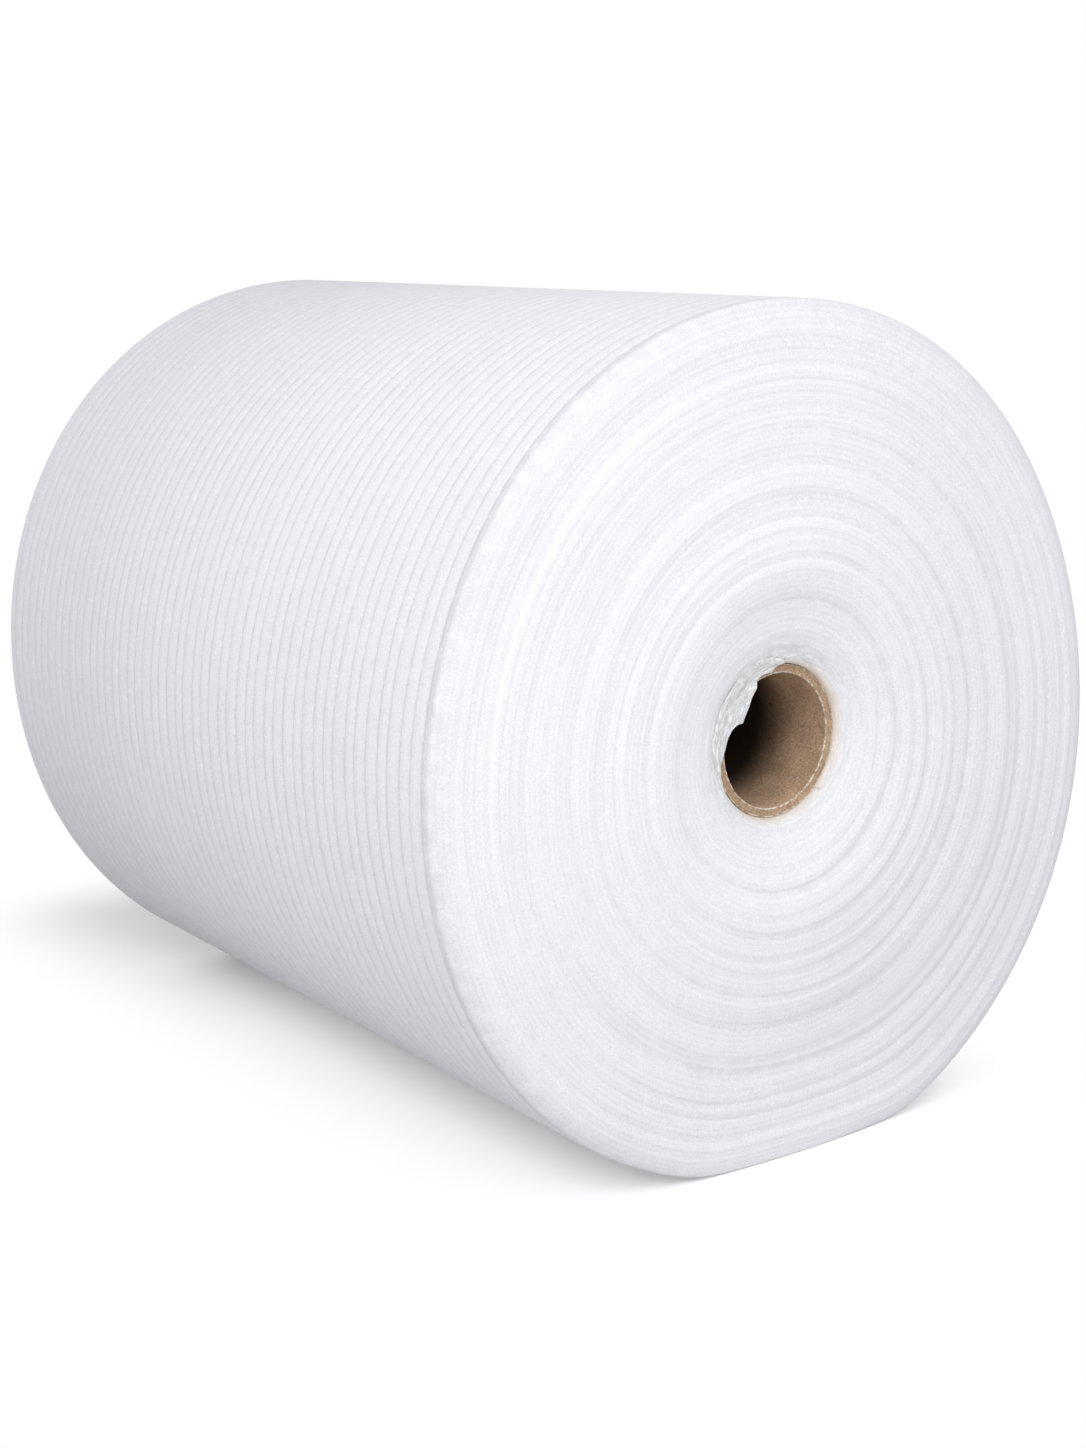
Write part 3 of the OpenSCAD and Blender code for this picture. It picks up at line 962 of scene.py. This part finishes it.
def kraft_material(sizes):
    """Kraft board: fibres along the tube, specks, pale glue lines in its cut rim, a painted highlight
    along the rim's edges, and painted shade deep in the bore.
    """
    material, n, shader = new_material("Kraft board")
    place = n.add("ShaderNodeTexCoord").outputs["Object"]
    centred = n.add("ShaderNodeMapping", Vector=place)
    centred.inputs["Location"].default_value = -AXIS
    parts = n.add("ShaderNodeSeparateXYZ", Vector=centred.outputs[0])
    x, y, z = (parts.outputs[k] for k in "XYZ")
    radius = n.math("SQRT", n.math("ADD", n.math("MULTIPLY", y, y), n.math("MULTIPLY", z, z)))
    fibre_at = n.add("ShaderNodeCombineXYZ", X=n.math("MULTIPLY", x, 0.75), Y=y, Z=z)
    fibre = n.add("ShaderNodeTexNoise", Vector=fibre_at.outputs[0], Scale=900.0, Detail=5.0,
                  Roughness=0.65)
    blotch = n.add("ShaderNodeTexNoise", Vector=place, Scale=55.0, Detail=3.0)
    tone = n.math("ADD", n.math("MULTIPLY", fibre.outputs["Fac"], 0.7),
                  n.math("MULTIPLY", blotch.outputs["Fac"], 0.3))
    dark = tuple(c * 0.72 for c in sizes.colour)
    light = tuple(min(c * 1.26, 1) for c in sizes.colour)
    base = n.mix(n.ramp(tone, 0.36, 0.64), colour4(dark), colour4(light))
    # Painted shade deep in the bore: the board falls to 6 % of its colour from 26 to 58 mm in from each
    # end
    bore_shade = n.ramp(n.math("ABSOLUTE", x), TUBE_END - 26 * MM, TUBE_END - 58 * MM)
    base = n.mix(bore_shade, base, colour4(tuple(c * 0.06 for c in sizes.colour)))
    at_rim = n.ramp(n.math("ABSOLUTE", x), TUBE_END - 0.9 * MM, TUBE_END - 0.3 * MM)
    ply = (TUBE_R - BORE_R) / sizes.plies
    into = n.math("DIVIDE", n.math("SUBTRACT", TUBE_R, radius), ply)
    waver = n.add("ShaderNodeTexNoise", Vector=place, Scale=160.0, Detail=2.0)
    into = n.math("ADD", into, n.math("MULTIPLY", waver.outputs["Fac"], 0.35))
    line = n.math("PINGPONG", into, 0.5)
    frayed = n.add("ShaderNodeTexNoise", Vector=place, Scale=480.0, Detail=4.0, Roughness=0.7)
    rim_base = n.mix(n.ramp(line, 0.14, 0.03, 0.0, 0.5), base, colour4(sizes.rim_colour))
    rim_base = n.mix(n.ramp(frayed.outputs["Fac"], 0.52, 0.42, 0.0, 0.7), rim_base, colour4(dark))
    # Painted highlight along the inner and outer edges of the cut rim, broken up by noise
    edges = n.math("MAXIMUM", n.ramp(radius, BORE_R + 1.0 * MM, BORE_R + 0.2 * MM),
                   n.ramp(radius, TUBE_R - 0.9 * MM, TUBE_R - 0.3 * MM))
    edge = n.math("MULTIPLY", edges, n.ramp(frayed.outputs["Fac"], 0.42, 0.56, 0.1, 0.9))
    rim_base = n.mix(edge, rim_base, colour4(sizes.edge_highlight_colour))
    base = n.mix(at_rim, base, rim_base)
    specks = bpy.data.node_groups["Specks"]
    dark_specks = use_group(n, specks, Vector=place, Spacing=330.0, Share=0.035, Size=0.2)
    pale_specks = use_group(n, specks, Vector=place, Spacing=410.0, Share=0.07, Size=0.22)
    base = n.mix(n.math("MULTIPLY", dark_specks.outputs["Mask"], 0.75), base, colour4(DARK_SPECK))
    pale_share = n.math("MULTIPLY", n.math("SUBTRACT", 1.0, bore_shade), 0.6)
    pale = n.math("MULTIPLY", pale_specks.outputs["Mask"], pale_share)
    base = n.mix(pale, base, colour4(PALE_SPECK))
    n.feed(shader, "Base Color", base)
    shader.inputs["Roughness"].default_value = 0.85
    shader.inputs["Specular IOR Level"].default_value = 0.25
    height = n.math("ADD", fibre.outputs["Fac"], n.math("MULTIPLY", line, -0.6))
    bump = n.add("ShaderNodeBump", Strength=0.5, Distance=0.2 * MM, Height=height)
    n.feed(shader, "Normal", bump.outputs["Normal"])
    return material


# The studio


def floor_material(sizes):
    """White floor that keeps the roll's shadow and meets the white background. Beyond a box round the
    roll the shadow is painted out white, and towards the far end it is painted darker.
    """
    material, n, shader = new_material("Floor")
    shader.inputs["Base Color"].default_value = (0.9, 0.9, 0.9, 1)
    shader.inputs["Roughness"].default_value = 0.9
    shader.inputs["Specular IOR Level"].default_value = 0.0
    parts = n.add("ShaderNodeSeparateXYZ", Vector=n.add("ShaderNodeTexCoord").outputs["Object"])
    x, y = parts.outputs["X"], parts.outputs["Y"]
    low_x, high_x, half_y = SHADOW_BOX
    beyond_x = n.math("MAXIMUM", n.math("SUBTRACT", low_x, x), n.math("SUBTRACT", x, high_x))
    beyond_x = n.math("MAXIMUM", beyond_x, 0.0)
    beyond_y = n.math("MAXIMUM", n.math("SUBTRACT", n.math("ABSOLUTE", y), half_y), 0.0)
    distance = n.math("SQRT", n.math("ADD", n.math("MULTIPLY", beyond_x, beyond_x),
                                     n.math("MULTIPLY", beyond_y, beyond_y)))
    # Less white is added towards the far end, which paints the shadow darker there
    lift = n.add("ShaderNodeEmission", Color=WHITE,
                 Strength=n.ramp(x, -0.36, -0.08, 0.03, sizes.floor_lift))
    near = n.add("ShaderNodeAddShader")
    n.feed(near, "0", shader.outputs["BSDF"])
    n.feed(near, "1", lift.outputs["Emission"])
    # Beyond the box the floor is painted white over its shadow
    white = n.add("ShaderNodeEmission", Color=WHITE, Strength=1.0)
    both = n.add("ShaderNodeMixShader")
    n.feed(both, "0", n.ramp(distance, 0.0, sizes.floor_clear))
    n.feed(both, "1", near.outputs["Shader"])
    n.feed(both, "2", white.outputs["Emission"])
    paths = n.add("ShaderNodeLightPath")
    seen = n.math("MAXIMUM", paths.outputs["Is Camera Ray"], paths.outputs["Is Glossy Ray"])
    seen = n.math("MAXIMUM", seen, paths.outputs["Is Transmission Ray"])
    around = n.add("ShaderNodeBsdfDiffuse", Color=(0.66, 0.66, 0.66, 1))
    pick = n.add("ShaderNodeMixShader")
    n.feed(pick, "0", seen)
    n.feed(pick, "1", around.outputs["BSDF"])
    n.feed(pick, "2", both.outputs["Shader"])
    output = next(k for k in material.node_tree.nodes if k.type == "OUTPUT_MATERIAL")
    n.feed(output, "Surface", pick.outputs["Shader"])
    return material


def set_world(sizes):
    """Even light on the roll, and white behind it where the camera looks."""
    world = bpy.data.worlds.new("Studio")
    world.use_nodes = True
    world.node_tree.nodes.clear()
    n = Nodes(world.node_tree)
    even = n.add("ShaderNodeBackground", Color=(0.97, 0.985, 1, 1), Strength=sizes.world_strength)
    white = n.add("ShaderNodeBackground", Color=WHITE, Strength=1.0)
    paths = n.add("ShaderNodeLightPath")
    seen = n.math("MAXIMUM", paths.outputs["Is Camera Ray"], paths.outputs["Is Transmission Ray"])
    pick = n.add("ShaderNodeMixShader")
    n.feed(pick, "0", seen)
    n.feed(pick, "1", even.outputs["Background"])
    n.feed(pick, "2", white.outputs["Background"])
    output = n.add("ShaderNodeOutputWorld")
    n.feed(output, "Surface", pick.outputs["Shader"])
    bpy.context.scene.world = world


def add_lamp(name, place, size, watts):
    """A square soft lamp at a place, turned to the roll."""
    lamp = bpy.data.lights.new(name, "AREA")
    lamp.shape = "SQUARE"
    lamp.size = size
    lamp.energy = watts
    holder = bpy.data.objects.new(name, lamp)
    holder.location = place
    holder.rotation_euler = (LAMP_AIM - Vector(place)).to_track_quat("-Z", "Y").to_euler()
    holder.visible_camera = False
    bpy.context.scene.collection.objects.link(holder)


def add_camera(sizes):
    """The photograph's camera, from its angles, its distance and its focal length in pixels."""
    a, e = sizes.camera_azimuth, sizes.camera_elevation
    back = Vector((math.sin(a) * math.cos(e), -math.cos(a) * math.cos(e), math.sin(e)))
    data = bpy.data.cameras.new("Camera")
    data.sensor_width = SENSOR / MM
    data.lens = sizes.focal_pixels * SENSOR / MM / max(FRAME_W, FRAME_H)
    data.clip_start = 0.05
    data.clip_end = 60
    holder = bpy.data.objects.new("Camera", data)
    holder.location = Vector(sizes.aim) + back * sizes.camera_distance
    holder.rotation_euler = (-back).to_track_quat("-Z", "Y").to_euler()
    bpy.context.scene.collection.objects.link(holder)
    bpy.context.scene.camera = holder


# Operators


class FOAM_OT_wind(Operator):
    """Wind the ribbed foam web and dress it"""

    bl_idname = "foam_roll.wind"
    bl_label = "Wind the foam"

    def execute(self, context):
        sizes = context.scene.foam_sizes
        piece = wind_foam(sizes)
        finish_piece(piece, foam_material(sizes))
        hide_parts("foam_roll")
        return {"FINISHED"}


class FOAM_OT_tear(Operator):
    """Make the torn flap over the tube's mouth"""

    bl_idname = "foam_roll.tear"
    bl_label = "Tear the flap"

    def execute(self, context):
        sizes = context.scene.flap_sizes
        piece = tear_flap(sizes, context.scene.foam_sizes)
        finish_piece(piece, flap_material(sizes))
        return {"FINISHED"}


class FOAM_OT_tube(Operator):
    """Make the kraft tube with its plies and worn rims"""

    bl_idname = "foam_roll.tube"
    bl_label = "Make the tube"

    def execute(self, context):
        sizes = context.scene.tube_sizes
        piece = make_tube(sizes)
        finish_piece(piece, kraft_material(sizes))
        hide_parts("core_tube")
        return {"FINISHED"}


class FOAM_OT_studio(Operator):
    """Set the floor, the lamps, the world and the camera"""

    bl_idname = "foam_roll.studio"
    bl_label = "Set the studio"

    def execute(self, context):
        sizes = context.scene.studio_sizes
        bpy.ops.mesh.primitive_plane_add(size=60, location=(0, 0, 0))
        floor = context.active_object
        floor.name = "floor"
        floor.data.materials.append(floor_material(sizes))
        set_world(sizes)
        for name, place, size, power in LAMPS:
            add_lamp(name, place, size, getattr(sizes, power))
        add_camera(sizes)
        context.scene.view_settings.view_transform = "Standard"
        return {"FINISHED"}


class FOAM_PT_panel(Panel):
    """Lists the steps that make the roll"""

    bl_label = "Foam Roll"
    bl_idname = "FOAM_PT_panel"
    bl_space_type = "VIEW_3D"
    bl_region_type = "UI"
    bl_category = "Foam Roll"

    def draw(self, context):
        for step in (FOAM_OT_wind, FOAM_OT_tear, FOAM_OT_tube, FOAM_OT_studio):
            self.layout.operator(step.bl_idname)
        for group in ("foam_sizes", "flap_sizes", "tube_sizes", "studio_sizes"):
            values = getattr(context.scene, group)
            box = self.layout.box()
            for key in values.__annotations__:
                box.prop(values, key)


GROUPS = {
    "foam_sizes": FoamSizes,
    "flap_sizes": FlapSizes,
    "tube_sizes": TubeSizes,
    "studio_sizes": StudioSizes,
}
CLASSES = (*GROUPS.values(), FOAM_OT_wind, FOAM_OT_tear, FOAM_OT_tube, FOAM_OT_studio, FOAM_PT_panel)


def register():
    for made in CLASSES:
        bpy.utils.register_class(made)
    for name, group in GROUPS.items():
        setattr(bpy.types.Scene, name, PointerProperty(type=group))


def unregister():
    for name in GROUPS:
        delattr(bpy.types.Scene, name)
    for made in reversed(CLASSES):
        bpy.utils.unregister_class(made)


def main():
    register()
    foam_cells_group()
    specks_group()
    creases_group()
    bpy.ops.object.select_all(action="DESELECT")
    bpy.ops.foam_roll.wind()
    bpy.ops.foam_roll.tear()
    bpy.ops.foam_roll.tube()
    bpy.ops.foam_roll.studio()


if __name__ == "__main__":
    main()
